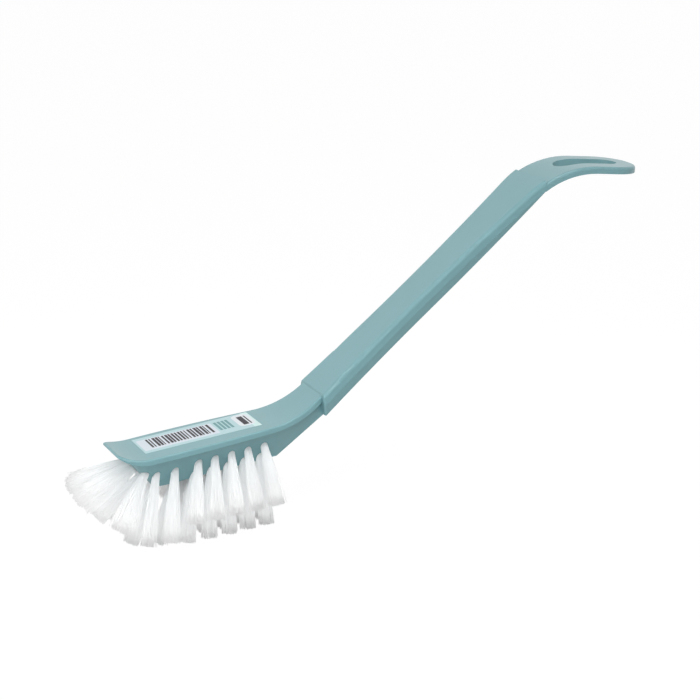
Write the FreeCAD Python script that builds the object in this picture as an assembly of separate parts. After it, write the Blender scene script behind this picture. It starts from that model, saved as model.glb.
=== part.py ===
import FreeCAD, Part
import math
import os
from FreeCAD import Placement, Rotation, Vector

# A moulded dish brush: one plastic body (head, neck, grip and hanging hook), bundles of filaments
# set in its head by small metal anchors, and a film label on top of the head.
# Lengths are in millimetres and angles in degrees. During the build x runs back from the scraper
# edge to the hook, z = 0 is the flat top of the head, and the object is symmetric about y = 0.
# At the end everything is moved so that the origin lies under the middle of the whole brush.

# head plate with its upturned scraper lip
lip_length = 12.0
lip_radius = 22.5
lip_edge_thickness = 1.2
plate_thickness = 2.3
plate_half_width = 15.0
front_edge_half_width = 8.6
front_corner_length = 14.0
flat_length = 52.0
plate_middle_share = 0.73
plate_middle_narrowing = 0.7
rim_round = 0.75

# bent neck behind it
neck_radius = 39.0
neck_straight = 1.5
neck_half_width = 10.2
neck_low_half_width = 8.4
neck_side_inset = 0.9
neck_stations = 7

# block below the plate that carries the filaments
block_depth = 15.0
block_front_gap = 4.5
block_rear_run = 2.3
block_overhang = 2.5
block_taper = 1.1
block_front_slope_run = 9.5
block_low_half_width = 6.2
block_corner_radius = 4.5

# grip
grip_angle = 32.7
grip_step = 0.45
grip_run = 99.4
grip_bend_radius = 41.5
grip_bend_run = 6.8
grip_half_width = 12.8
grip_waist_share = 0.5
grip_waist_half_width = 10.8
grip_end_half_width = 14.5
grip_depth = 9.0
grip_side_arcs = 4
crease_height_share = 0.5
grip_low_draft = 1.2
grip_top_round = 1.7
grip_start_bevel = 0.5
grip_overlap = 2.0

# cored underside of the grip
core_front_wall = 5.4
core_rear_wall = 5.0
core_wall = 2.6
core_roof = 2.8
core_draft = 0.35
core_bays = 6
core_rib_thickness = 1.8
core_stations = 3

# hook and hanging slot
hook_step = 1.1
hook_thickness = 2.9
hook_down_angle = 12.6
hook_length = 46.7
hook_half_width = 14.1
hook_corner_share = 0.91
hook_round = 1.2
slot_front_gap = 11.2
slot_tip_wall = 7.5
slot_width = 11.0

# filament tufts: places along the block as shares of its length from the rear, depth of the hole's
# mouth below the top of the plate, lean towards the front, splay away from the middle
hole_radius = 1.5
hole_depth = 3.8
hole_run_out = 5.0
tuft_clearance = 0.05
tuft_straight = 2.2
tuft_tip_radius = 3.3
tuft_sides = 6
side_first_share = 0.092
side_pitch_share = 0.114
side_mouth_depth = 8.6
side_tuft_length = 24.2
side_leans = (3.0, 7.0, 11.0, 16.0, 21.0)
side_splay = 26.0
fan_shares = (0.708, 0.834, 0.914)
fan_mouth_depths = (9.8, 9.4, 8.0)
fan_insets = (0.0, 0.3, 0.8)
fan_lengths = (28.0, 28.0, 24.0)
fan_leans = (19.0, 23.0, 44.0)
fan_splays = (19.0, 16.0, 12.0)
fan_tip_radii = (3.6, 3.6, 5.4)
inner_shift_share = 0.03
inner_mouth_depth = 14.1
inner_tuft_length = 26.8
inner_leans = (5.0, 7.0, 9.0, 13.0, 18.0)
inner_splay = 9.0
centre_leans = (5.0, 7.0, 9.0, 13.0, 18.0)
centre_tuft_length = 26.9
centre_fan_shares = (0.675, 0.795)
centre_fan_leans = (23.0, 33.0)
centre_fan_lengths = (28.0, 27.2)
front_names = ("centre_8", "front_centre", "front_left", "front_right")
front_depth_shares = (0.71, 0.355, 0.365, 0.365)
front_sides = (0.0, 0.0, -4.9, 4.9)
front_leans = (57.0, 69.0, 74.0, 74.0)
front_splays = (0.0, 0.0, 15.0, 15.0)
front_lengths = (24.4, 26.0, 26.0, 26.0)
front_tip_radii = (3.3, 3.5, 4.2, 4.2)

# metal anchors, one across the floor of every hole
anchor_clearance = 0.03
anchor_thickness = 0.45
anchor_height = 1.6
anchor_lift = 0.6

# film label
label_front_gap = 0.3
label_rear_gap = 2.7
label_near_margin = 8.0
label_far_margin = 3.4
label_thickness = 0.12

slope = math.tan(math.radians(grip_angle))
grip_sine = math.sin(math.radians(grip_angle))
grip_cosine = math.cos(math.radians(grip_angle))
grip_upright = Vector(-grip_sine, 0, grip_cosine)

# places along the brush
flat_end_x = lip_length + flat_length
plate_middle_x = lip_length + plate_middle_share * flat_length
grip_start_x = flat_end_x + neck_radius * grip_sine + neck_straight
grip_start_z = neck_radius * (1 - grip_cosine) + neck_straight * slope + grip_step
grip_bend_x = grip_start_x + grip_run
grip_end_x = grip_bend_x + grip_bend_run
grip_waist_x = grip_start_x + grip_waist_share * (grip_end_x - grip_start_x)
hook_tip_x = grip_end_x + hook_length
block_front_x = block_front_gap
block_low_front_x = block_front_x + block_front_slope_run
block_rear_x = flat_end_x + block_rear_run
block_half_width = plate_half_width - block_overhang
block_top_z = -plate_thickness / 2

# sizes of the cutting shapes, and what counts as touching
wide = 2 * max(plate_half_width, hook_half_width, grip_end_half_width) + plate_half_width
tall = hook_tip_x
tiny = lip_edge_thickness / 100
wall_width_share = 0.75


def point(x, z):
    """A point of a side view, on the middle plane."""
    return Vector(x, 0, z)


def line(start, end):
    return Part.LineSegment(start, end).toShape()


def arc(centre, radius, start_angle, end_angle):
    """Arc in a side view; the angles run from +x towards +z."""
    angles = (start_angle, (start_angle + end_angle) / 2, end_angle)
    return Part.Arc(*[on_arc(centre, radius, angle) for angle in angles]).toShape()


def on_arc(centre, radius, angle):
    turn = math.radians(angle)
    return centre + Vector(radius * math.cos(turn), 0, radius * math.sin(turn))


def side_prism(edges):
    """A side view outline made solid across the whole width."""
    wire = Part.Wire(Part.__sortEdges__(edges))
    wire.translate(Vector(0, -wide / 2, 0))
    return Part.Face(wire).extrude(Vector(0, wide, 0))


def plan_wire(edges, height):
    wire = Part.Wire(Part.__sortEdges__(edges))
    wire.translate(Vector(0, 0, height))
    return wire


def plan_prism(edges):
    """A plan outline made solid over the whole height."""
    return Part.Face(plan_wire(edges, -tall)).extrude(Vector(0, 0, 2 * tall))


def mirrored(edge):
    return edge.mirror(Vector(0, 0, 0), Vector(0, 1, 0))


def quarter_ellipse(tip_x, flat_half, length, half_width):
    """Front corner from a straight end to the full half width."""
    centre = Vector(tip_x + length, flat_half, 0)
    rise = half_width - flat_half
    middle = math.sqrt(0.5)
    along = centre - Vector(length, 0, 0)
    aside = centre + Vector(0, rise, 0)
    curve = Part.Ellipse(along, aside, centre) if length >= rise else Part.Ellipse(aside, along, centre)
    ends = sorted((curve.parameter(along), curve.parameter(aside)))
    between = curve.parameter(centre + Vector(-length * middle, rise * middle, 0))
    if ends[0] < between < ends[1]:
        return Part.ArcOfEllipse(curve, ends[0], ends[1]).toShape()
    return Part.ArcOfEllipse(curve, ends[1], ends[0] + 2 * math.pi).toShape()


def both_sides(edges):
    return edges + [mirrored(edge) for edge in edges]


def eased(solid, ease, size, edges):
    """The solid with these edges rounded or cut off, or as it was if that doesn't fit."""
    try:
        result = ease(size, edges)
    except Exception:
        return solid
    if result.isValid() and len(result.Solids) == 1:
        return result
    return solid


def rounded(solid, edges, radius):
    return eased(solid, solid.makeFillet, radius, edges)


def bevelled(solid, edges, size):
    return eased(solid, solid.makeChamfer, size, edges)


def head_top(x):
    """Height of the plate and neck above the flat of the head."""
    if x < lip_length:
        return lip_radius - math.sqrt(lip_radius ** 2 - (lip_length - x) ** 2)
    run = x - flat_end_x
    if run <= 0:
        return 0.0
    bend = neck_radius * grip_sine
    if run <= bend:
        return neck_radius - math.sqrt(neck_radius ** 2 - run ** 2)
    return neck_radius * (1 - grip_cosine) + (run - bend) * slope


def bend_centre():
    """Centre of the bend between the grip and the hook."""
    bend_z = grip_line(grip_bend_x)
    return point(grip_bend_x + grip_bend_radius * grip_sine, bend_z - grip_bend_radius * grip_cosine)


def grip_line(x):
    """Height of the straight top of the grip, run on past the bend."""
    return grip_start_z + (x - grip_start_x) * slope


def grip_top(x):
    if x <= grip_bend_x:
        return grip_line(x)
    centre = bend_centre()
    return centre.z + math.sqrt(grip_bend_radius ** 2 - (x - centre.x) ** 2)


def grip_side(inset):
    """Arc of one long side through its start, waist and end, in the plane of the grip's top."""
    stops = (
        (grip_start_x, grip_half_width),
        (grip_waist_x, grip_waist_half_width),
        (grip_end_x, grip_end_half_width),
    )
    return Part.Arc(*[Vector(x, half - inset, grip_line(x)) for x, half in stops]).toShape()


def grip_half(x):
    """Half width above the crease."""
    circle = grip_side(0).Curve
    along = (x - circle.Center.x) / grip_cosine
    return circle.Center.y - math.sqrt(circle.Radius ** 2 - along ** 2)


def grip_low_end():
    return point(grip_end_x, grip_top(grip_end_x) - hook_step - hook_thickness)


def grip_low_arc():
    """Arc that leaves the straight underside at the waist and rises to the hook."""
    start = point(grip_waist_x, grip_line(grip_waist_x) - grip_depth)
    chord = grip_low_end() - start
    radius = chord * chord / (2 * (chord * grip_upright))
    centre = start + grip_upright * radius
    end_angle = math.degrees(math.atan2(grip_low_end().z - centre.z, grip_low_end().x - centre.x))
    return arc(centre, radius, grip_angle - 90, end_angle)


def grip_low(x):
    """Height of the underside of the grip."""
    if x <= grip_waist_x:
        return grip_line(x) - grip_depth
    rise = grip_low_end().z - grip_line(grip_end_x) + grip_depth
    return grip_line(x) - grip_depth + rise * ((x - grip_waist_x) / (grip_end_x - grip_waist_x)) ** 2


def section(x, corners):
    """Closed polygon across the brush at x, from the (half width, height) corners of one side."""
    one_side = [Vector(x, half, height) for half, height in corners]
    other = [Vector(x, -half, height) for half, height in reversed(corners)]
    return Part.makePolygon(one_side + other + one_side[:1])


def rounded_ring(corners):
    """Closed wire through corners, each a point and the radius of its round, or zero for a sharp one."""
    stops = []
    for k, (corner, radius) in enumerate(corners):
        back = (corners[k - 1][0] - corner).normalize()
        ahead = (corners[(k + 1) % len(corners)][0] - corner).normalize()
        half_angle = back.getAngle(ahead) / 2
        reach = radius / math.tan(half_angle)
        inward = (back + ahead).normalize()
        middle = corner + inward * (radius / math.sin(half_angle) - radius)
        stops.append((corner + back * reach, middle, corner + ahead * reach, radius))
    edges = []
    for k, (start, middle, end, radius) in enumerate(stops):
        if radius > 0:
            edges.append(Part.Arc(start, middle, end).toShape())
        edges.append(line(end, stops[(k + 1) % len(stops)][0]))
    return Part.Wire(edges)


def spaced(start, end, count):
    return [start + (end - start) * k / (count - 1) for k in range(count)]


def plate_outline():
    corner = quarter_ellipse(0, front_edge_half_width, front_corner_length, plate_half_width)
    end_x = grip_start_x + grip_overlap
    side = Part.Arc(
        Vector(front_corner_length, plate_half_width, 0),
        Vector(plate_middle_x, plate_half_width - plate_middle_narrowing, 0),
        Vector(end_x, neck_half_width, 0),
    ).toShape()
    front = line(Vector(0, -front_edge_half_width, 0), Vector(0, front_edge_half_width, 0))
    back = line(Vector(end_x, -neck_half_width, 0), Vector(end_x, neck_half_width, 0))
    return [front, back] + both_sides([corner, side])


def plate_side_view():
    """Lip, flat and bent neck, with an underside that follows the top."""
    end_x = grip_start_x + grip_overlap
    lip_angle = math.degrees(math.asin(lip_length / lip_radius))
    tip_z = head_top(0)
    rise = tip_z - lip_edge_thickness + plate_thickness
    low_radius = (lip_length ** 2 + rise ** 2) / (2 * rise)
    low_angle = math.degrees(math.asin(lip_length / low_radius))
    lip_centre = point(lip_length, lip_radius)
    low_centre = point(lip_length, low_radius - plate_thickness)
    neck_centre = point(flat_end_x, neck_radius)
    low_bend = neck_radius + plate_thickness
    top_bend_end = neck_centre + Vector(neck_radius * grip_sine, 0, -neck_radius * grip_cosine)
    low_bend_end = neck_centre + Vector(low_bend * grip_sine, 0, -low_bend * grip_cosine)
    top_end = point(end_x, head_top(end_x))
    low_end = point(end_x, low_bend_end.z + (end_x - low_bend_end.x) * slope)
    return [
        arc(lip_centre, lip_radius, -90 - lip_angle, -90),
        line(point(lip_length, 0), point(flat_end_x, 0)),
        arc(neck_centre, neck_radius, -90, grip_angle - 90),
        line(top_bend_end, top_end),
        line(top_end, low_end),
        line(low_end, low_bend_end),
        arc(neck_centre, low_bend, -90, grip_angle - 90),
        line(point(flat_end_x, -plate_thickness), point(lip_length, -plate_thickness)),
        arc(low_centre, low_radius, -90 - low_angle, -90),
        line(point(0, tip_z - lip_edge_thickness), point(0, tip_z)),
    ]


def is_upright(face):
    """True for a wall of a plan prism: its normal has no part along z."""
    first, last, low, high = face.ParameterRange
    normal = face.normalAt((first + last) / 2, (low + high) / 2)
    return abs(normal.z) < math.sin(math.radians(1))


def head_plate():
    solid = side_prism(plate_side_view()).common(plan_prism(plate_outline())).Solids[0]
    return rounded(solid, plate_rims(solid), rim_round)


def plate_rims(solid):
    """Edges round the top of the plate."""
    back_x = grip_start_x + grip_overlap / 2
    walls = [face for face in solid.Faces if is_upright(face) and face.BoundBox.XMin < back_x]
    found = []
    for edge in lone_edges(walls):
        middle = edge.valueAt(edge.getParameterByLength(edge.Length / 2))
        if middle.x < back_x and head_top(middle.x) - middle.z < lip_edge_thickness / 2:
            found.append(edge)
    return found


def lone_edges(faces):
    """Edges that only one of these faces has."""
    edges = [edge for face in faces for edge in face.Edges]
    return [edge for edge in edges if sum(edge.isSame(other) for other in edges) == 1]


def block_front(height):
    """Where the sloping front of the block is at a height."""
    return block_front_x + block_front_slope_run * (height - block_top_z) / (-block_depth - block_top_z)


def block_half(x, height):
    """Half width of the block: it narrows downwards and, at the same rate at every height, to the rear."""
    front_half = block_half_width + (block_low_half_width - block_half_width) * (
        (height - block_top_z) / (-block_depth - block_top_z))
    return front_half - block_taper * (x - block_front(height)) / (block_rear_x - block_front_x)


def block_ring(height):
    places = [(x, block_half(x, height)) for x in (block_front(height), block_rear_x)]
    one_side = [Vector(x, half, height) for x, half in places]
    return one_side + [Vector(x, -half, height) for x, half in reversed(places)]


def block_solid():
    """Flat sides and front that slope inwards below the plate, with rounded front corners."""
    solid = flat_sided([block_ring(block_top_z), block_ring(-block_depth)])
    corners = [edge for edge in solid.Edges
               if edge.BoundBox.XMax < block_low_front_x + tiny and edge.BoundBox.ZLength > plate_thickness]
    return rounded(solid, corners, block_corner_radius)


def flat_sided(rings):
    """Solid with flat sides between rings of corners, closed by the first and last ring."""
    faces = [flat_face(rings[0][::-1]), flat_face(rings[-1])]
    for low, high in zip(rings, rings[1:]):
        for k in range(len(low)):
            faces.append(flat_face([low[k - 1], low[k], high[k], high[k - 1]]))
    return Part.Solid(Part.Shell(faces))


def flat_face(corners):
    return Part.Face(Part.makePolygon(corners + corners[:1]))


def neck_solid():
    """Wedge between the bent plate and a straight underside that runs on into the grip's slope."""
    end_x = grip_start_x + grip_overlap
    rear_half = block_half(block_rear_x, block_top_z)
    rear_low_half = block_half(block_rear_x, -block_depth)
    wires = []
    for x in spaced(block_rear_x, end_x, neck_stations):
        share = (x - block_rear_x) / (end_x - block_rear_x)
        top_half = rear_half + (neck_half_width - neck_side_inset - rear_half) * share
        low_half = rear_low_half + (neck_low_half_width - rear_low_half) * share
        low_z = -block_depth + (x - block_rear_x) * slope
        top_z = head_top(x) - plate_thickness / 2
        wires.append(section(x, [(top_half, top_z), (low_half, low_z)]))
    return Part.makeLoft(wires, True, False)


def grip_side_view():
    """Straight top running into the bend, and an underside that rises towards the hook."""
    start = point(grip_start_x, grip_start_z)
    bend_start = point(grip_bend_x, grip_line(grip_bend_x))
    end = point(grip_end_x, grip_top(grip_end_x))
    low_start = point(grip_start_x, grip_start_z - grip_depth)
    low_middle = point(grip_waist_x, grip_line(grip_waist_x) - grip_depth)
    centre = bend_centre()
    end_angle = math.degrees(math.acos((grip_end_x - centre.x) / grip_bend_radius))
    return [
        line(start, bend_start),
        arc(centre, grip_bend_radius, grip_angle + 90, end_angle),
        line(end, grip_low_end()),
        grip_low_arc(),
        line(low_middle, low_start),
        line(low_start, start),
    ]


def grip_outline(inset, level):
    """Closed outline of the grip, longer than it at both ends, at a level square to its top."""
    side = grip_side(inset)
    spare = grip_depth / side.Curve.Radius
    stops = spaced(side.FirstParameter - spare, side.LastParameter + spare, grip_side_arcs + 1)
    near = [side.Curve.toShape(start, end) for start, end in zip(stops, stops[1:])]
    corners = [side.Curve.value(stop) for stop in (stops[0], stops[-1])]
    ends = [line(corner, Vector(corner.x, -corner.y, corner.z)) for corner in corners]
    wire = Part.Wire(Part.__sortEdges__(both_sides(near) + ends))
    wire.translate(grip_upright * level)
    return wire


def grip_solid():
    """Upright sides down to a crease, then drafted ones, all within the side view."""
    deep = grip_depth * grip_cosine
    crease = deep * crease_height_share
    upper = Part.Face(grip_outline(0, -crease)).extrude(grip_upright * 2 * crease)
    lower = Part.makeLoft([grip_outline(0, -crease), grip_outline(grip_low_draft, -deep)], True, True)
    solid = upper.fuse(lower).common(side_prism(grip_side_view())).Solids[0]
    solid = rounded(solid, grip_top_edges(solid), grip_top_round)
    start_edges = [edge for edge in solid.Edges if edge.BoundBox.XMax < grip_start_x + tiny]
    return bevelled(solid, start_edges, grip_start_bevel)


def grip_top_edges(solid):
    """The long edges of the top and those of its bend."""
    found = []
    for edge in solid.Edges:
        middle = edge.valueAt(edge.getParameterByLength(edge.Length / 2))
        on_top = abs(grip_top(middle.x) - middle.z) < tiny
        if on_top and edge.BoundBox.XLength > grip_top_round:
            found.append(edge)
    return found


def core_cutters():
    """Pockets from below, with cross ribs left between them."""
    core_start_x = grip_start_x + core_front_wall
    pitch = (grip_bend_x - core_rear_wall - core_start_x + core_rib_thickness) / core_bays
    cutters = []
    for bay in range(core_bays):
        start = core_start_x + bay * pitch
        wires = []
        for x in spaced(start, start + pitch - core_rib_thickness, core_stations):
            low = grip_low(x) - core_roof
            roof = grip_top(x) - core_roof
            half = grip_half(x) - grip_low_draft - core_wall
            wires.append(section(x, [(half - core_draft, roof), (half + core_draft, low)]))
        cutters.append(Part.makeLoft(wires, True, False))
    return cutters


def hook_side_view():
    """A bent strip: an arc round the bend centre, then straight to the tip."""
    centre = bend_centre()
    outer = grip_bend_radius - hook_step
    inner = outer - hook_thickness
    start_x = grip_end_x - grip_overlap
    start_angle = math.degrees(math.acos((start_x - centre.x) / grip_bend_radius))
    end_angle = 90 - hook_down_angle
    ahead = hook_ahead() * (hook_tip_x - grip_end_x)
    return [
        arc(centre, outer, start_angle, end_angle),
        line(on_arc(centre, outer, end_angle), on_arc(centre, outer, end_angle) + ahead),
        line(on_arc(centre, outer, end_angle) + ahead, on_arc(centre, inner, end_angle) + ahead),
        line(on_arc(centre, inner, end_angle) + ahead, on_arc(centre, inner, end_angle)),
        arc(centre, inner, start_angle, end_angle),
        line(on_arc(centre, inner, start_angle), on_arc(centre, outer, start_angle)),
    ]


def hook_ahead():
    """Direction of the straight end of the hook."""
    down = math.radians(hook_down_angle)
    return Vector(math.cos(down), 0, -math.sin(down))


def hook_outline():
    """Prism square to the straight end of the hook: parallel sides and a tip with two big corners."""
    ahead = hook_ahead()
    upright = Vector(-ahead.z, 0, ahead.x)
    bend_end = on_arc(bend_centre(), grip_bend_radius, 90 - hook_down_angle)
    tip = bend_end + ahead * ((hook_tip_x - bend_end.x) / ahead.x)
    back = tip - ahead * (hook_tip_x - grip_start_x)
    aside = Vector(0, hook_half_width, 0)
    ring = rounded_ring([
        (back + aside, 0),
        (tip + aside, hook_corner_share * hook_half_width),
        (tip - aside, hook_corner_share * hook_half_width),
        (back - aside, 0),
    ])
    ring.translate(-upright * tall)
    return Part.Face(ring).extrude(upright * 2 * tall)


def slot_cutter():
    radius = slot_width / 2
    first = grip_end_x + slot_front_gap + radius
    last = hook_tip_x - slot_tip_wall - radius
    bar = Part.makeBox(last - first, slot_width, 2 * tall, Vector(first, -radius, -tall))
    ends = [Part.makeCylinder(radius, 2 * tall, Vector(x, 0, -tall)) for x in (first, last)]
    return bar.fuse(ends).removeSplitter()


def hook_solid():
    solid = side_prism(hook_side_view()).common(hook_outline()).Solids[0]
    walls = [face for face in solid.Faces if face.BoundBox.YLength < wall_width_share * 2 * hook_half_width]
    top_reach = grip_bend_radius - hook_step - hook_thickness / 2
    rims = []
    for edge in lone_edges(walls):
        middle = edge.valueAt(edge.getParameterByLength(edge.Length / 2))
        if middle.x > grip_end_x and hook_reach(middle) > top_reach:
            rims.append(edge)
    return rounded(solid, rims, hook_round).cut(slot_cutter())


def hook_reach(place):
    """Distance from the bend centre, or past the bend the distance square to the straight end."""
    offset = point(place.x, place.z) - bend_centre()
    beyond = max(offset * hook_ahead(), 0)
    return (offset - hook_ahead() * beyond).Length


def tuft_places():
    """Every tuft: name, hole mouth, outward direction, free length and radius of its tip."""
    places = []

    def add(name, mouth, lean, splay, length, tip_radius=tuft_tip_radius):
        forward = math.radians(lean)
        aside = math.radians(splay)
        side = -1 if mouth.y < 0 else 1
        across = math.cos(aside)
        towards = Vector(-math.sin(forward) * across, side * math.sin(aside), -math.cos(forward) * across)
        places.append(("tuft_" + name, mouth, towards, length, tip_radius))

    def along(share):
        return block_rear_x - share * (block_rear_x - block_front_x)

    row_shares = [side_first_share + k * side_pitch_share for k in range(len(side_leans))]
    for side, word in ((-1, "left"), (1, "right")):
        for k, (share, lean) in enumerate(zip(row_shares, side_leans)):
            x = along(share)
            half = block_half(x, -side_mouth_depth)
            mouth = Vector(x, side * half, -side_mouth_depth)
            add(word + "_" + str(k + 1), mouth, lean, side_splay, side_tuft_length)
        for k, (share, depth, inset) in enumerate(zip(fan_shares, fan_mouth_depths, fan_insets)):
            x = along(share)
            mouth = Vector(x, side * (block_half(x, -depth) - inset), -depth)
            name = word + "_" + str(len(side_leans) + k + 1)
            add(name, mouth, fan_leans[k], fan_splays[k], fan_lengths[k], fan_tip_radii[k])
        for k, lean in enumerate(inner_leans):
            x = along(row_shares[k] + inner_shift_share)
            mouth = Vector(x, side * block_half(x, -inner_mouth_depth), -inner_mouth_depth)
            add("inner_" + word + "_" + str(k + 1), mouth, lean, inner_splay, inner_tuft_length)
    centre_lengths = [centre_tuft_length] * len(centre_leans) + list(centre_fan_lengths)
    centre_rows = zip(row_shares + list(centre_fan_shares), centre_leans + centre_fan_leans, centre_lengths)
    for k, (share, lean, length) in enumerate(centre_rows):
        add("centre_" + str(k + 1), Vector(along(share), 0, -block_depth), lean, 0, length)
    for k, name in enumerate(front_names):
        height = -front_depth_shares[k] * block_depth
        mouth = Vector(block_front(height), front_sides[k], height)
        add(name, mouth, front_leans[k], front_splays[k], front_lengths[k], front_tip_radii[k])
    return places


def placed(shape, mouth, towards):
    """A shape drawn along +z, with its mouth at zero, put on the tuft's axis."""
    shape.Placement = Placement(mouth, Rotation(Vector(0, 0, 1), towards))
    return shape


def hole_cutter(mouth, towards):
    drill = Part.makeCylinder(hole_radius, hole_depth + hole_run_out, Vector(0, 0, -hole_depth))
    return placed(drill, mouth, towards)


def anchor(mouth, towards):
    """Short flat wire that pins the folded filaments and spans the hole from wall to wall."""
    reach = hole_radius - anchor_clearance
    span = 2 * math.sqrt(reach ** 2 - (anchor_thickness / 2) ** 2)
    corner = Vector(-span / 2, -anchor_thickness / 2, anchor_lift - hole_depth)
    return placed(Part.makeBox(span, anchor_thickness, anchor_height, corner), mouth, towards)


def tuft(mouth, towards, length, tip_radius):
    """Many-sided bundle over its anchor, straight in the hole and flaring to its trimmed end."""
    radius = hole_radius - tuft_clearance
    stops = ((radius, -hole_depth), (radius, tuft_straight), (tip_radius, length))
    return placed(flat_sided([many_sided(*stop) for stop in stops]), mouth, towards)


def many_sided(radius, height):
    turns = [2 * math.pi * k / tuft_sides for k in range(tuft_sides)]
    return [Vector(radius * math.cos(turn), radius * math.sin(turn), height) for turn in turns]


def label_solid():
    length = flat_length - label_front_gap - label_rear_gap
    width = 2 * plate_half_width - label_near_margin - label_far_margin
    corner = Vector(lip_length + label_front_gap, label_near_margin - plate_half_width, 0)
    return Part.makeBox(length, width, label_thickness, corner)


def body_solid(places):
    """All moulded regions as one solid, with the core pockets and the tuft holes taken out."""
    head = head_plate().fuse([block_solid(), neck_solid()]).removeSplitter()
    body = head.fuse([grip_solid(), hook_solid()]).cut(core_cutters())
    return body.cut([hole_cutter(mouth, towards) for name, mouth, towards, length, tip_radius in places])


def build():
    places = tuft_places()
    shapes = {"body": body_solid(places)}
    anchors = [anchor(mouth, towards) for name, mouth, towards, length, tip_radius in places]
    shapes["anchors"] = Part.makeCompound(anchors)
    shapes["label"] = label_solid()
    for (name, mouth, towards, length, tip_radius), pin in zip(places, anchors):
        shapes[name] = tuft(mouth, towards, length, tip_radius).cut(pin)
    return shapes


def export(shapes):
    os.makedirs("parts", exist_ok=True)
    boxes = [shape.optimalBoundingBox(False, False) for shape in shapes.values()]
    middle_x = (min(box.XMin for box in boxes) + max(box.XMax for box in boxes)) / 2
    bottom = min(box.ZMin for box in boxes)
    for name, shape in shapes.items():
        shape.translate(Vector(-middle_x, 0, -bottom))
        shape.exportStep(os.path.join("parts", name + ".step"))
    print("moved by", round(-middle_x, 3), round(-bottom, 3))


export(build())
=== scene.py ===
import math

import bpy
import numpy as np
from mathutils import Matrix, Vector


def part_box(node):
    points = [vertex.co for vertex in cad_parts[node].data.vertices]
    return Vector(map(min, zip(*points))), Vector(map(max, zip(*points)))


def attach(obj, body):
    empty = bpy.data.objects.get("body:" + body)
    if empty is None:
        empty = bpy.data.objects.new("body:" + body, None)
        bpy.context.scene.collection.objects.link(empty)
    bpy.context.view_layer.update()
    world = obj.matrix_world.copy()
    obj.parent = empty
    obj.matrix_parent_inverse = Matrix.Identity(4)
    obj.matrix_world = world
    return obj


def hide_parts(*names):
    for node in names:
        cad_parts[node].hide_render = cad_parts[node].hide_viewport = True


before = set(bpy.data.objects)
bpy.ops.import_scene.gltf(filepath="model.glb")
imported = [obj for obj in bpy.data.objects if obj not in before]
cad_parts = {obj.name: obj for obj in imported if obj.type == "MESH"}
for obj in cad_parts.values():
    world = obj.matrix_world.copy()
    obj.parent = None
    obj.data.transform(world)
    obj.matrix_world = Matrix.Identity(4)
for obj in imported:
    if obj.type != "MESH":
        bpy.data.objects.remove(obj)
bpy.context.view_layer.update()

# The looks of a moulded dish brush: teal plastic, a printed film on the head, steel anchors, and
# white nylon strands grown in the place of each plain tuft.
# Lengths are in metres, written as millimetres times mm.

mm = 0.001

# camera: its place from the near front corner of the film, and how it is turned
camera_from_film = Vector((-220.73, -826.51, 307.84)) * mm
camera_turn = math.radians(20.611)
camera_dip = math.radians(17.943)
camera_roll = math.radians(7.014)
camera_lens = 118.9
camera_sensor = 36.0
camera_reach = 20.0

# strands of one tuft
strands_per_tuft = 150
strand_radius = 0.105 * mm
strand_sides = 4
strand_stations = 7
strand_root_lift = 0.9 * mm
strand_root_fill = 0.92
flare_start_share = 0.62
flare_power = 1.7
tip_scatter_share = 0.07
trim_scatter = 0.6 * mm
trim_dome = 0.2 * mm
stray_bend = 0.32 * mm
clumps_per_tuft = 6
clump_pull_share = 0.22
strand_seed = 11

# draws on a strand: weakest and strongest part of the clump's pull, how far its end lies from the
# trim in shares of trim_scatter, and the shares of its tone that are its own and its clump's
clump_pull_range = (0.3, 1)
trim_range_shares = (-1, 0.4)
own_tone_share = 0.6
clump_tone_share = 0.4

# the longest free run of a strand, as a share of its tuft's
longest_run_share = 1.2

# reading a tuft's solid: the slice of corners taken as its foot, and how much wider than the foot
# still counts as straight
foot_slice = 0.1 * mm
straight_slack = 1.05

# strands that use has combed away from their solid: degrees of droop from its axis, share of its
# spread at the tip, and how much shorter the upper ones are
combed = {
    "tuft_left_7": (3, 0.8, 0.0),
    "tuft_right_7": (3, 0.8, 0.0),
    "tuft_left_8": (9, 0.95, 0.0),
    "tuft_right_8": (9, 0.95, 0.0),
    "tuft_front_left": (1, 0.95, 4.0 * mm),
    "tuft_front_centre": (-2, 1.05, 7.0 * mm),
    "tuft_front_right": (-3, 1.1, 9.0 * mm),
}

# colours
teal = (0.175, 0.348, 0.375, 1)
nylon_white = (0.965, 0.965, 0.965, 1)
nylon_cool = (0.94, 0.965, 0.975, 1)
steel_grey = (0.58, 0.58, 0.56, 1)
film_teal = (0.45, 0.62, 0.65, 1)
film_end = (0.6, 0.77, 0.76, 1)
print_white = (0.64, 0.69, 0.745, 1)
print_pale = (0.7, 0.74, 0.77, 1)
print_black = (0.022, 0.02, 0.028, 1)
print_teal = (0.14, 0.31, 0.32, 1)
floor_white = (0.62, 0.62, 0.62, 1)

# finishes: depth of the skin's grain, what a hairline adds to the roughness, and the swing of tone
# from strand to strand
plastic_grain_depth = 0.012 * mm
plastic_mark_roughness = 0.04
film_grain_depth = 0.01 * mm
film_mark_roughness = 0.15
steel_grain_depth = 0.005 * mm
steel_mark_roughness = 0.2
strand_tone_swing = 0.03

# print on the film, in millimetres from its near front corner: start and end along it, near and
# far across it, and the corner's radius
white_panel = (0.9, 32.4, 2.6, 16.0, 0.5)
bars_panel = (4.5, 31.3, 4.7, 15.3, 0.1)
end_zone = (46.0, 52.0, -2.0, 21.0, 0.1)
end_panel = (41.4, 48.2, 3.2, 17.6, 2.4)
dark_strokes = ((43.3, 45.6, 4.8, 15.2, 0.1), (46.2, 46.8, 4.8, 15.2, 0.1))

# plain teal strokes in a row, and bars whose least width and its swing are shares of a step
stroke_count = 4
stroke_start = 33.4
stroke_step = 1.6
stroke_width = 1.1
stroke_near = 5.0
stroke_far = 15.4
stroke_corner = 0.1
bar_count = 20
bar_width_share = 0.34
bar_swing_share = 0.5

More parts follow.
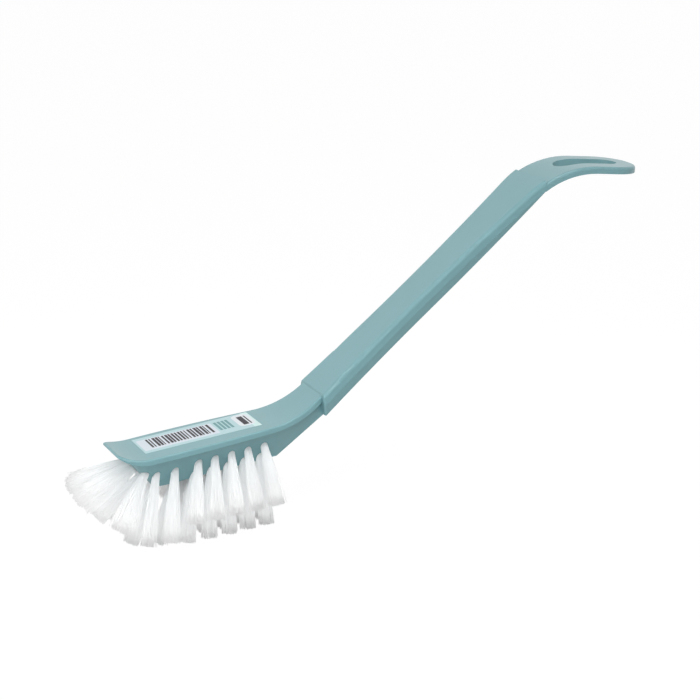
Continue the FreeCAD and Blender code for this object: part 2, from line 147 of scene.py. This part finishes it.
# stage
world_strength = 0.5
floor_half_width = 3.0
floor_glow = 1.06
floor_glow_share = 0.9


def node_points(name):
    """Corners of a CAD node as an array of rows."""
    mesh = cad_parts[name].data
    flat = np.empty(len(mesh.vertices) * 3, np.float32)
    mesh.vertices.foreach_get("co", flat)
    return flat.reshape(-1, 3).astype(float)


def tuft_axis(name):
    """Foot, direction, length, straight run and two radii of a tuft.

    A tuft's solid is alike all round its axis, so its corners spread most along that axis: the
    first principal direction. Its wide end is the tip.
    """
    corners = np.unique(node_points(name).round(7), axis=0)
    middle = corners.mean(axis=0)
    towards = np.linalg.svd(corners - middle, full_matrices=False)[2][0]
    along = (corners - middle) @ towards
    away = np.linalg.norm(corners - middle - along[:, None] * towards, axis=1)
    if along[np.argmax(away)] < 0:
        towards, along = -towards, -along
    tip_radius = away.max()
    foot_radius = away[along < along.min() + foot_slice].max()
    straight = along[away < straight_slack * foot_radius].max() - along.min()
    return {
        "foot": middle + along.min() * towards,
        "towards": towards,
        "length": along.max() - along.min(),
        "straight": straight,
        "foot_radius": foot_radius,
        "tip_radius": tip_radius,
    }


def across(towards):
    """Two unit directions square to an axis, the first one also square to the brush's length."""
    side = np.cross(towards, (1.0, 0.0, 0.0))
    side /= np.linalg.norm(side)
    return side, np.cross(side, towards)


def turned_down(towards, angle):
    """A direction turned by an angle towards straight down."""
    down = np.array((0.0, 0.0, -1.0))
    square = down - (down @ towards) * towards
    return math.cos(angle) * towards + math.sin(angle) * square / np.linalg.norm(square)


def strand_paths(axis, rng, droop=0, spread=1.0, upper_cut=0.0):
    """Points of every strand, as strands by stations by three.

    The feet fill a disc as seeds fill a sunflower: strand k sits at the golden angle times k and
    at the root of its share of the count. From the mouth of the hole the distance from the axis
    grows from foot to tip as one less a falling power, so strands open fast and then run side by
    side. Clumps draw their tips together, and each strand strays with the square of its run.
    A drooping tuft turns down about its mouth, and strands are cut shorter with the square of
    their height over the axis.
    """
    count = strands_per_tuft
    number = np.arange(count)
    turn = number * math.pi * (3 - math.sqrt(5)) + rng.uniform(0, 2 * math.pi)
    share = np.sqrt((number + 0.5) / count)
    aim = np.stack([np.cos(turn), np.sin(turn)], axis=1)
    foot = aim * (share * axis["foot_radius"] * strand_root_fill)[:, None]
    scatter = 1 + tip_scatter_share * rng.standard_normal(count)
    tip = aim * (share * axis["tip_radius"] * spread * scatter)[:, None]

    heart = rng.uniform(-1, 1, (clumps_per_tuft, 2)) * axis["tip_radius"]
    clump = np.argmin(np.linalg.norm(tip[:, None] - heart[None], axis=2), axis=1)
    tip += (heart[clump] - tip) * clump_pull_share * rng.uniform(*clump_pull_range, count)[:, None]
    stray = rng.standard_normal((count, 2)) * stray_bend

    first, second = across(axis["towards"])
    up = np.clip(tip @ (first[2], second[2]) / axis["tip_radius"], 0, 1)
    run = np.linspace(0, 1, strand_stations)
    end = axis["length"] - trim_dome * share ** 2
    end += trim_scatter * rng.uniform(*trim_range_shares, count)
    end -= upper_cut * up ** 2
    height = strand_root_lift + run[None] * (end - strand_root_lift)[:, None]
    mouth = axis["straight"] * flare_start_share
    free = np.clip((height - mouth) / (axis["length"] - mouth), 0, longest_run_share)
    opened = 1 - np.clip(1 - free, 0, 1) ** flare_power
    aside = foot[:, None] + (tip - foot)[:, None] * opened[..., None]
    aside = aside + stray[:, None] * (free ** 2)[..., None]

    paths = (axis["foot"] + height[..., None] * axis["towards"]
             + aside[..., :1] * first + aside[..., 1:] * second)
    turned = turned_down(axis["towards"], math.radians(droop))
    paths += np.maximum(height - mouth, 0)[..., None] * (turned - axis["towards"])
    return paths, clump


def strand_tubes(paths, axis):
    """A closed thin tube round every path: a ring of corners at each station, joined by quads and
    capped at both ends. The rings lie square to the tuft's axis, which the strands nearly follow."""
    count, stations = paths.shape[:2]
    first, second = across(axis["towards"])
    turn = np.arange(strand_sides) * 2 * math.pi / strand_sides
    ring = strand_radius * (np.cos(turn)[:, None] * first + np.sin(turn)[:, None] * second)
    points = (paths[:, :, None] + ring).reshape(-1, 3)

    start = np.arange(count)[:, None, None] * stations * strand_sides
    level = np.arange(stations - 1)[None, :, None] * strand_sides
    side = np.arange(strand_sides)[None, None]
    after = (side + 1) % strand_sides
    low = start + level
    high = low + strand_sides
    walls = np.stack([low + side, high + side, high + after, low + after], axis=-1)
    flat_start = start.reshape(-1, 1)
    last = (stations - 1) * strand_sides
    corner = np.arange(strand_sides)[None]
    caps = np.concatenate([flat_start + corner, flat_start + last + corner[:, ::-1]])
    return points, np.concatenate([walls.reshape(-1, 4), caps])


def mesh_piece(name, points, faces, material):
    """A mesh object at the origin from arrays of points and of faces with equally many corners."""
    mesh = bpy.data.meshes.new(name)
    corners = faces.shape[1]
    mesh.vertices.add(len(points))
    mesh.vertices.foreach_set("co", points.astype(np.float32).ravel())
    mesh.loops.add(faces.size)
    mesh.loops.foreach_set("vertex_index", faces.astype(np.int32).ravel())
    mesh.polygons.add(len(faces))
    mesh.polygons.foreach_set("loop_start", (np.arange(len(faces)) * corners).astype(np.int32))
    mesh.update(calc_edges=True)
    mesh.validate()
    mesh.materials.append(material)
    piece = bpy.data.objects.new(name, mesh)
    bpy.context.scene.collection.objects.link(piece)
    return piece


def set_attribute(piece, name, values):
    """A value for every corner of a piece, for its material to read."""
    attribute = piece.data.attributes.new(name, "FLOAT", "POINT")
    attribute.data.foreach_set("value", values.astype(np.float32).ravel())


def strand_tuft(node, rng, material):
    """All strands of one tuft as one piece, in the place of its plain solid.

    Thin nylon passes a lamp's light on to the strands behind it, so the piece casts no shadow.
    """
    axis = tuft_axis(node)
    paths, clump = strand_paths(axis, rng, *combed.get(node, ()))
    points, faces = strand_tubes(paths, axis)
    piece = mesh_piece("strands_" + node.replace("tuft_", ""), points, faces, material)
    piece.data.shade_smooth()
    piece.visible_shadow = False
    each = strand_stations * strand_sides
    tone = rng.uniform(-1, 1, strands_per_tuft) * own_tone_share
    tone += rng.uniform(-1, 1, clumps_per_tuft)[clump] * clump_tone_share
    run = np.tile(np.repeat(np.linspace(0, 1, strand_stations), strand_sides), strands_per_tuft)
    set_attribute(piece, "strand_tone", np.repeat(tone, each))
    set_attribute(piece, "strand_run", run)
    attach(piece, "root")
    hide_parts(node)


def put(tree, kind, inputs=None, **settings):
    """A node of this kind; each input is a plain value, or another node's output to link."""
    made = tree.nodes.new(kind)
    for name, value in settings.items():
        setattr(made, name, value)
    for name, value in (inputs or {}).items():
        if isinstance(value, bpy.types.NodeSocket):
            tree.links.new(value, made.inputs[name])
        else:
            made.inputs[name].default_value = value
    return made


def maths(tree, operation, first, second=0.0, third=0.0, clamp=False):
    """The result of one sum on up to three values or outputs."""
    terms = {0: first, 1: second, 2: third}
    return put(tree, "ShaderNodeMath", terms, operation=operation, use_clamp=clamp).outputs[0]


def mixed(tree, share, first, second, blend="MIX"):
    """A colour between two; the share and both colours are values or outputs."""
    sockets = {0: share, 6: first, 7: second}
    return put(tree, "ShaderNodeMix", sockets, data_type="RGBA", blend_type=blend).outputs[2]


def group(name, inputs, outputs):
    """An empty node group with its sockets, and its input and output nodes."""
    tree = bpy.data.node_groups.new(name, "ShaderNodeTree")
    kinds = {"value": "NodeSocketFloat", "place": "NodeSocketVector"}
    for word, kind in inputs.items():
        tree.interface.new_socket(word, in_out="INPUT", socket_type=kinds[kind])
    for word in outputs:
        tree.interface.new_socket(word, in_out="OUTPUT", socket_type="NodeSocketFloat")
    return tree, tree.nodes.new("NodeGroupInput").outputs, tree.nodes.new("NodeGroupOutput").inputs


def skin_grain():
    """Fine moulded or filmed skin: a height from two sizes of noise and a slow swing of gloss."""
    tree, given, gives = group(
        "skin grain",
        {"Place": "place", "Grain per m": "value", "Roughness": "value", "Swing": "value"},
        ("Height", "Roughness"),
    )
    slow_share = 0.02
    slow_height = 2.0
    fine = put(tree, "ShaderNodeTexNoise", {
        "Vector": given["Place"], "Scale": given["Grain per m"], "Detail": 3.0, "Roughness": 0.6})
    slow_per_m = maths(tree, "MULTIPLY", given["Grain per m"], slow_share)
    slow = put(tree, "ShaderNodeTexNoise", {
        "Vector": given["Place"], "Scale": slow_per_m, "Detail": 2.0})
    height = maths(tree, "MULTIPLY_ADD", slow.outputs["Fac"], slow_height, fine.outputs["Fac"])
    tree.links.new(height, gives["Height"])
    swing = maths(tree, "MULTIPLY", maths(tree, "SUBTRACT", slow.outputs["Fac"], 0.5), given["Swing"])
    tree.links.new(maths(tree, "ADD", given["Roughness"], swing, clamp=True), gives["Roughness"])
    return tree


def tone_drift():
    """Slow drift of a colour's brightness about one, from soft noise drawn out along the brush."""
    tree, given, gives = group("tone drift", {"Place": "place", "Amount": "value"}, ("Tone",))
    drawn = put(tree, "ShaderNodeMapping", {"Vector": given["Place"], "Scale": (22, 60, 60)})
    noise = put(tree, "ShaderNodeTexNoise", {"Vector": drawn.outputs[0], "Scale": 1.0, "Detail": 3.0})
    swing = maths(tree, "MULTIPLY", maths(tree, "SUBTRACT", noise.outputs["Fac"], 0.5), given["Amount"])
    tree.links.new(maths(tree, "ADD", swing, 1.0), gives["Tone"])
    return tree


def handling_marks():
    """Sparse hairline scratches: the borders of long drawn-out cells, kept where a noise is high."""
    tree, given, gives = group("handling marks", {"Place": "place", "Lines per m": "value"}, ("Mark",))
    line_width_share = 0.05
    patch_level = 0.56
    patch_gain = 9.0
    turned = put(tree, "ShaderNodeMapping", {
        "Vector": given["Place"], "Rotation": (0.4, 0.3, 0.5), "Scale": (0.06, 1, 1)})
    cells = put(tree, "ShaderNodeTexVoronoi", {
        "Vector": turned.outputs[0], "Scale": given["Lines per m"]}, feature="DISTANCE_TO_EDGE")
    off_line = maths(tree, "DIVIDE", cells.outputs["Distance"], line_width_share)
    thin = maths(tree, "SUBTRACT", 1.0, off_line, clamp=True)
    where = put(tree, "ShaderNodeTexNoise", {"Vector": given["Place"], "Scale": 90.0, "Detail": 1.0})
    over_level = maths(tree, "SUBTRACT", where.outputs["Fac"], patch_level)
    kept = maths(tree, "MULTIPLY", over_level, patch_gain, clamp=True)
    tree.links.new(maths(tree, "MULTIPLY", thin, kept), gives["Mark"])
    return tree


def panel_mask():
    """One inside a rectangle with round corners and zero outside: the distance past its inner
    rectangle, less the corner's radius, turned into a soft step."""
    tree, given, gives = group("panel mask", {
        "U": "value", "V": "value", "Middle U": "value", "Middle V": "value",
        "Half U": "value", "Half V": "value", "Corner": "value"}, ("Mask",))
    edge_sharpness = 20.0

    def past(place, middle, half):
        far = maths(tree, "ABSOLUTE", maths(tree, "SUBTRACT", given[place], given[middle]))
        inner = maths(tree, "SUBTRACT", given[half], given["Corner"])
        return maths(tree, "MAXIMUM", maths(tree, "SUBTRACT", far, inner), 0.0)

    beyond_u = past("U", "Middle U", "Half U")
    beyond_v = past("V", "Middle V", "Half V")
    square = maths(tree, "MULTIPLY_ADD", beyond_u, beyond_u, maths(tree, "MULTIPLY", beyond_v, beyond_v))
    over = maths(tree, "SUBTRACT", maths(tree, "SQRT", square), given["Corner"])
    tree.links.new(maths(tree, "MULTIPLY_ADD", over, -edge_sharpness, 0.5, clamp=True), gives["Mask"])
    return tree


groups = {"grain": skin_grain(), "tone": tone_drift(), "marks": handling_marks(), "panel": panel_mask()}


def use(tree, word, inputs):
    """One of the shared groups, placed in a material with its own values."""
    return put(tree, "ShaderNodeGroup", inputs, node_tree=groups[word]).outputs


def blank_material(name, **constants):
    """A material with its Principled shader, whose even values are set on its own sockets."""
    material = bpy.data.materials.new(name)
    material.use_nodes = True
    tree = material.node_tree
    shader = tree.nodes["Principled BSDF"]
    for word, value in constants.items():
        shader.inputs[word.replace("_", " ")].default_value = value
    place = tree.nodes.new("ShaderNodeTexCoord").outputs["Object"]
    return material, tree, shader, place


def roughen(tree, shader, grain, mark, mark_roughness):
    """Roughness of the skin, raised where a hairline runs."""
    roughness = maths(tree, "MULTIPLY_ADD", mark, mark_roughness, grain["Roughness"])
    tree.links.new(roughness, shader.inputs["Roughness"])


def bump(tree, shader, height, depth):
    """Relief of a skin that is this deep."""
    made = put(tree, "ShaderNodeBump", {"Height": height, "Strength": 1.0, "Distance": depth})
    tree.links.new(made.outputs[0], shader.inputs["Normal"])


def moulded_plastic():
    """Satin teal polypropylene: slow drift of tone, fine skin, a few hairlines that dull the gloss."""
    material, tree, shader, place = blank_material("moulded teal plastic", IOR=1.49)
    grain = use(tree, "grain", {"Place": place, "Grain per m": 2600.0, "Roughness": 0.3, "Swing": 0.06})
    tone = use(tree, "tone", {"Place": place, "Amount": 0.1})["Tone"]
    mark = use(tree, "marks", {"Place": place, "Lines per m": 700.0})["Mark"]
    colour = mixed(tree, 1.0, teal, tone, "MULTIPLY")
    tree.links.new(colour, shader.inputs["Base Color"])
    roughen(tree, shader, grain, mark, plastic_mark_roughness)
    bump(tree, shader, grain["Height"], plastic_grain_depth)
    return material


def nylon_strand():
    """White nylon: each strand has its own tone, and the roots are a little cooler."""
    material, tree, shader, place = blank_material("white nylon", IOR=1.53, Roughness=0.42)
    tone = put(tree, "ShaderNodeAttribute", attribute_name="strand_tone").outputs["Fac"]
    run = put(tree, "ShaderNodeAttribute", attribute_name="strand_run").outputs["Fac"]
    drift = use(tree, "tone", {"Place": place, "Amount": 0.06})["Tone"]
    level = maths(tree, "MULTIPLY_ADD", tone, strand_tone_swing, drift)
    white = mixed(tree, run, nylon_cool, nylon_white)
    tree.links.new(mixed(tree, 1.0, white, level, "MULTIPLY"), shader.inputs["Base Color"])
    return material


def anchor_steel():
    """Drawn flat wire: bright steel with fine lines."""
    material, tree, shader, place = blank_material("anchor steel", Metallic=1.0)
    grain = use(tree, "grain", {"Place": place, "Grain per m": 6000.0, "Roughness": 0.32, "Swing": 0.2})
    mark = use(tree, "marks", {"Place": place, "Lines per m": 3000.0})["Mark"]
    tone = use(tree, "tone", {"Place": place, "Amount": 0.2})["Tone"]
    tree.links.new(mixed(tree, 1.0, steel_grey, tone, "MULTIPLY"), shader.inputs["Base Color"])
    roughen(tree, shader, grain, mark, steel_mark_roughness)
    bump(tree, shader, grain["Height"], steel_grain_depth)
    return material


def printed_film():
    """Satin film: a pale ground, a white panel with plain bars, and plain strokes on the rest.

    The bars stand at even steps, and each has the width of a fixed draw on its number.
    """
    material, tree, shader, place = blank_material("printed film", IOR=1.46, Specular_IOR_Level=0.2)
    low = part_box("label")[0]
    scaled = put(tree, "ShaderNodeMapping", {
        "Vector": place, "Location": -low / mm, "Scale": (1 / mm, 1 / mm, 1 / mm)})
    parts = put(tree, "ShaderNodeSeparateXYZ", {"Vector": scaled.outputs[0]})
    u, v = parts.outputs["X"], parts.outputs["Y"]

    def panel(start, end, near, far, corner):
        return use(tree, "panel", {
            "U": u, "V": v, "Middle U": (start + end) / 2, "Middle V": (near + far) / 2,
            "Half U": (end - start) / 2, "Half V": (far - near) / 2, "Corner": corner})["Mask"]

    tone = use(tree, "tone", {"Place": place, "Amount": 0.05})["Tone"]
    ground = mixed(tree, panel(*end_zone), film_teal, film_end)
    colour = mixed(tree, panel(*white_panel), ground, print_white)
    first, last = bars_panel[:2]
    along = maths(tree, "MULTIPLY", maths(tree, "SUBTRACT", u, first), bar_count / (last - first))
    number = maths(tree, "FLOOR", along)
    draw = put(tree, "ShaderNodeTexWhiteNoise", {"W": number}, noise_dimensions="1D").outputs["Value"]
    width = maths(tree, "MULTIPLY_ADD", draw, bar_swing_share, bar_width_share)
    inside = maths(tree, "LESS_THAN", maths(tree, "SUBTRACT", along, number), width)
    bars = maths(tree, "MULTIPLY", inside, panel(*bars_panel))
    colour = mixed(tree, bars, colour, print_black)
    colour = mixed(tree, panel(*end_panel), colour, print_pale)
    for k in range(stroke_count):
        start = stroke_start + k * stroke_step
        stroke = panel(start, start + stroke_width, stroke_near, stroke_far, stroke_corner)
        colour = mixed(tree, stroke, colour, print_teal)
    for stroke in dark_strokes:
        colour = mixed(tree, panel(*stroke), colour, print_black)
    tree.links.new(mixed(tree, 1.0, colour, tone, "MULTIPLY"), shader.inputs["Base Color"])
    grain = use(tree, "grain", {"Place": place, "Grain per m": 900.0, "Roughness": 0.42, "Swing": 0.15})
    mark = use(tree, "marks", {"Place": place, "Lines per m": 900.0})["Mark"]
    roughen(tree, shader, grain, mark, film_mark_roughness)
    bump(tree, shader, grain["Height"], film_grain_depth)
    return material


def seen_plainly(tree):
    """One for rays from the camera, or mirrored or let through on their way to it."""
    rays = tree.nodes.new("ShaderNodeLightPath").outputs
    mirrored = maths(tree, "MAXIMUM", rays["Is Glossy Ray"], rays["Is Transmission Ray"])
    return maths(tree, "MAXIMUM", rays["Is Camera Ray"], mirrored)


def pale_floor():
    """White floor that shows near white and keeps a faint shadow."""
    material, tree, shader, place = blank_material("pale floor", Roughness=0.9, Specular_IOR_Level=0.0)
    tone = use(tree, "tone", {"Place": place, "Amount": 0.01})["Tone"]
    tree.links.new(mixed(tree, 1.0, floor_white, tone, "MULTIPLY"), shader.inputs["Base Color"])
    glow = put(tree, "ShaderNodeEmission", {"Color": (1, 1, 1, 1), "Strength": floor_glow})
    share = maths(tree, "MULTIPLY", seen_plainly(tree), floor_glow_share)
    both = put(tree, "ShaderNodeMixShader", {0: share, 1: shader.outputs[0], 2: glow.outputs[0]})
    tree.links.new(both.outputs[0], tree.nodes["Material Output"].inputs["Surface"])
    return material


def lay_floor(half_width):
    """A level square under the brush, a grid of two by two corners."""
    ends = np.array([-half_width, half_width])
    x, y = np.meshgrid(ends, ends)
    points = np.stack([x.ravel(), y.ravel(), np.zeros(4)], axis=1)
    floor = mesh_piece("floor", points, np.array([[0, 1, 3, 2]]), pale_floor())


def white_world(strength):
    """White to the camera, and a dimmer even light on the brush."""
    world = bpy.data.worlds.new("studio")
    world.use_nodes = True
    bpy.context.scene.world = world
    tree = world.node_tree
    ground = tree.nodes["Background"]
    ground.inputs["Color"].default_value = (1, 1, 1, 1)
    level = maths(tree, "MULTIPLY_ADD", seen_plainly(tree), 1.0 - strength, strength)
    tree.links.new(level, ground.inputs["Strength"])


def softbox(name, place, aim, size, power, beam=180):
    """A square lamp that faces a point, with its beam in degrees."""
    lamp = bpy.data.lights.new(name, "AREA")
    lamp.shape = "SQUARE"
    lamp.size = size
    lamp.energy = power
    lamp.spread = math.radians(beam)
    lamp_object = bpy.data.objects.new(name, lamp)
    bpy.context.scene.collection.objects.link(lamp_object)
    turn = (Vector(aim) - Vector(place)).to_track_quat("-Z", "Y").to_matrix().to_4x4()
    lamp_object.matrix_world = Matrix.Translation(place) @ turn


def set_camera():
    """Level at first and looking along +Y, then turned aside, dipped and rolled."""
    camera = bpy.data.cameras.new("camera")
    camera.lens = camera_lens
    camera.sensor_width = camera_sensor
    camera.clip_end = camera_reach
    camera_object = bpy.data.objects.new("camera", camera)
    bpy.context.scene.collection.objects.link(camera_object)
    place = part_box("label")[0] + camera_from_film
    turn = (Matrix.Rotation(-camera_turn, 4, "Z") @ Matrix.Rotation(math.pi / 2 - camera_dip, 4, "X")
            @ Matrix.Rotation(-camera_roll, 4, "Z"))
    camera_object.matrix_world = Matrix.Translation(place) @ turn
    bpy.context.scene.camera = camera_object


def dress(name, material):
    """Give a CAD node its finish."""
    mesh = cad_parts[name].data
    for slot in range(len(mesh.materials)):
        mesh.materials[slot] = material


bpy.context.scene.view_settings.view_transform = "Standard"
set_camera()
white_world(world_strength)
head = tuple(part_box("label")[1])
softbox("front softbox", place=(-0.48, -0.57, 0.47), aim=head, size=0.6, power=3.6)
softbox("rear softbox", place=(-0.35, 0.3, 0.6), aim=head, size=0.4, power=0.4)
softbox("top softbox", place=(0.12, -0.25, 0.7), aim=head, size=0.4, power=0.18, beam=40)
lay_floor(floor_half_width)

dress("body", moulded_plastic())
dress("anchors", anchor_steel())
dress("label", printed_film())
nylon = nylon_strand()
rng = np.random.default_rng(strand_seed)
for node in sorted(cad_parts):
    if node.startswith("tuft_"):
        strand_tuft(node, rng, nylon)
